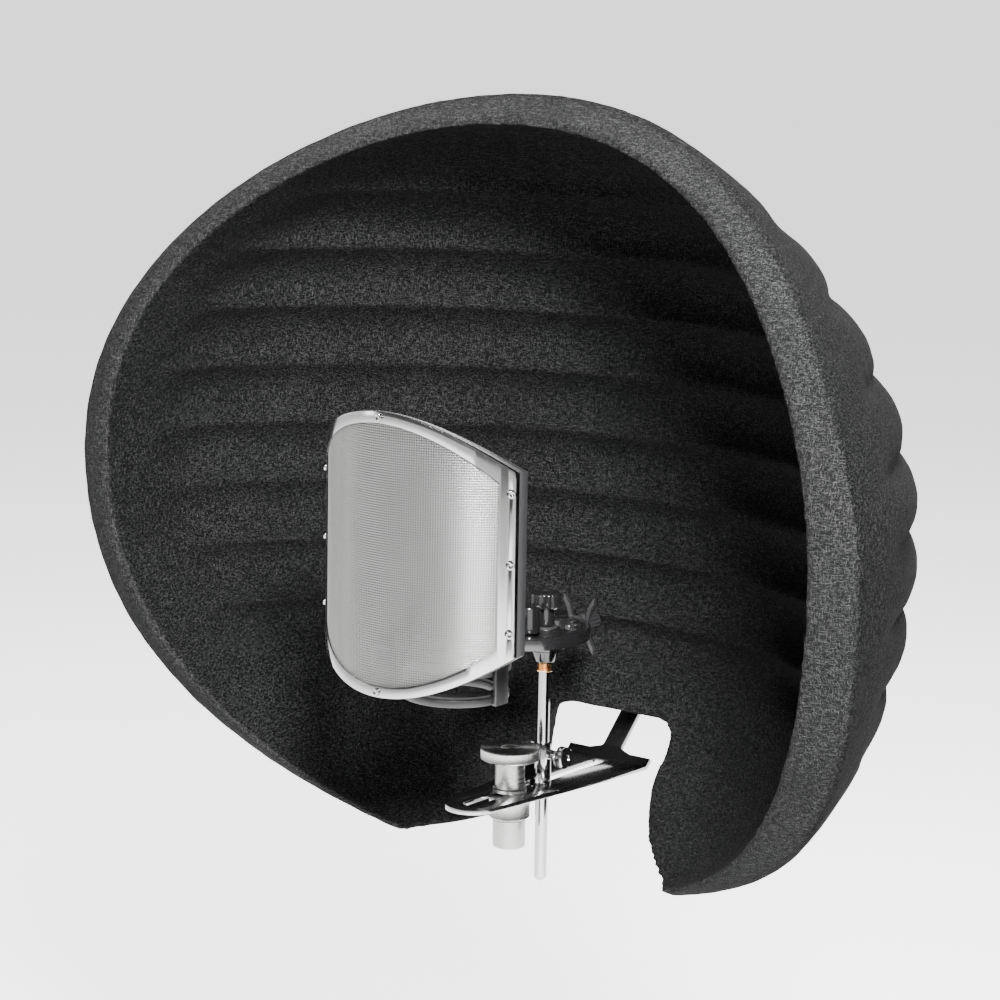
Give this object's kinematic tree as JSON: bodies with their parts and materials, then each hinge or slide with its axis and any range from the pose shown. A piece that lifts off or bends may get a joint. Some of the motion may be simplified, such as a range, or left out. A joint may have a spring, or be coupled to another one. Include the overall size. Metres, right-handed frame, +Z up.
{
  "type": "pop filter with microphone mount and reflection booth",
  "caption": "Curved steel-mesh pop filter on a suspension microphone mount, held by a slotted bracket in a domed felt reflection booth.",
  "frame": {"origin": "mouth of the threaded stand socket, on the post axis", "axes": "+Z up along the post, the booth opens towards -Y, +X to the right when it is seen from in front"},
  "size_m": [0.588, 0.3332, 0.5002],
  "materials": {
    "felt": "pressed charcoal felt with fine fibres",
    "felt_rim": "charcoal felt edge, lighter nap",
    "polished_steel": "polished stainless",
    "satin_steel": "turned satin stainless",
    "chrome": "bright plated rod",
    "brass": "bright brass thread",
    "black_gloss": "glossy black moulding",
    "black_matte": "fine-textured black moulding",
    "rubber": "soft black",
    "nylon": "smooth black nylon",
    "mesh": "fine woven stainless mesh"
  },
  "bodies": {
    "post": {"stand_socket": "satin_steel", "post_stud": "satin_steel"},
    "lock_knob": {"lock_knob": "satin_steel"},
    "pan": {"slot_washer": "nylon", "shoulder_washer": "satin_steel"},
    "booth": {"bracket_plate": "polished_steel", "outer_shell": "felt", "inner_shell": "felt", "rim_band": "felt_rim", "notch_lining": "felt", "shell_screws": "polished_steel", "shell_spacers": "rubber", "shell_nuts": "polished_steel"},
    "rod_clamp": {"clamp_sleeve": "chrome", "clamp_nut": "chrome"},
    "rod_thumb_screw": {"rod_thumb_screw": "chrome"},
    "rod": {"support_rod": "chrome", "brass_adapter": "brass"},
    "mount": {"swivel_base": "black_gloss", "loop_arm": "black_gloss", "mount_stud": "satin_steel", "mount_washer": "nylon", "spring_housing": "black_gloss", "rear_lyre": "black_matte", "front_lyre": "black_matte", "clasp_ring": "black_matte", "gate_pin": "satin_steel", "clasp_pad": "rubber", "seat_ring": "black_matte", "seat_pad": "rubber", "left_lyre": "black_matte", "right_lyre": "black_matte", "filter_stalk": "black_matte"},
    "mount_knob": {"mount_knob": "black_gloss"},
    "rear_knob": {"rear_knob": "black_matte"},
    "clasp_gate": {"clasp_gate": "black_matte"},
    "pop_filter": {"filter_front_band": "polished_steel", "filter_front_mesh": "mesh", "filter_gasket": "rubber", "filter_rear_mesh": "mesh", "filter_rear_frame": "black_matte", "filter_screws": "polished_steel", "filter_nuts": "satin_steel", "filter_lug": "black_matte", "tilt_pin": "satin_steel"},
    "tilt_knob": {"tilt_knob": "black_matte"}
  },
  "joints": [
    {"name": "booth_pan", "type": "hinge", "parent": "post", "child": "pan", "pos_m": [0, 0, 0.034], "axis": [0, 0, 1], "continuous": true},
    {"name": "booth_slide", "type": "slide", "parent": "pan", "child": "booth", "axis": [0, 1, 0], "range_m": [-0.004, 0.026]},
    {"name": "lock_knob_turn", "type": "hinge", "parent": "post", "child": "lock_knob", "pos_m": [0, 0, 0.05], "axis": [0, 0, 1], "range_deg": [0, 360]},
    {"name": "rod_clamp_slide", "type": "slide", "parent": "booth", "child": "rod_clamp", "axis": [0, 1, 0], "range_m": [-0.005, 0.012]},
    {"name": "rod_thumb_screw_turn", "type": "hinge", "parent": "rod_clamp", "child": "rod_thumb_screw", "pos_m": [0.01, 0.034, 0.053], "axis": [1, 0, 0], "range_deg": [0, 360]},
    {"name": "rod_height", "type": "slide", "parent": "rod_clamp", "child": "rod", "axis": [0, 0, 1], "range_m": [-0.025, 0.045]},
    {"name": "mount_swivel", "type": "hinge", "parent": "rod", "child": "mount", "pos_m": [0, 0.034, 0.115], "axis": [0, 0, 1], "range_deg": [-30, 30]},
    {"name": "mount_knob_turn", "type": "hinge", "parent": "mount", "child": "mount_knob", "pos_m": [0, 0.034, 0.15], "axis": [0, 0, 1], "range_deg": [0, 360]},
    {"name": "rear_knob_turn", "type": "hinge", "parent": "mount", "child": "rear_knob", "pos_m": [0, 0.08, 0.131], "axis": [0, 1, 0], "range_deg": [0, 360]},
    {"name": "clasp_gate_open", "type": "hinge", "parent": "mount", "child": "clasp_gate", "pos_m": [-0.02539, -0.07648, 0.132], "axis": [0, 0, -1], "range_deg": [0, 46]},
    {"name": "filter_tilt", "type": "hinge", "parent": "mount", "child": "pop_filter", "pos_m": [0, -0.1205, 0.145], "axis": [1, 0, 0], "range_deg": [-12, 12]},
    {"name": "tilt_knob_turn", "type": "hinge", "parent": "pop_filter", "child": "tilt_knob", "pos_m": [0.012, -0.1205, 0.145], "axis": [1, 0, 0], "range_deg": [0, 360]}
  ]
}
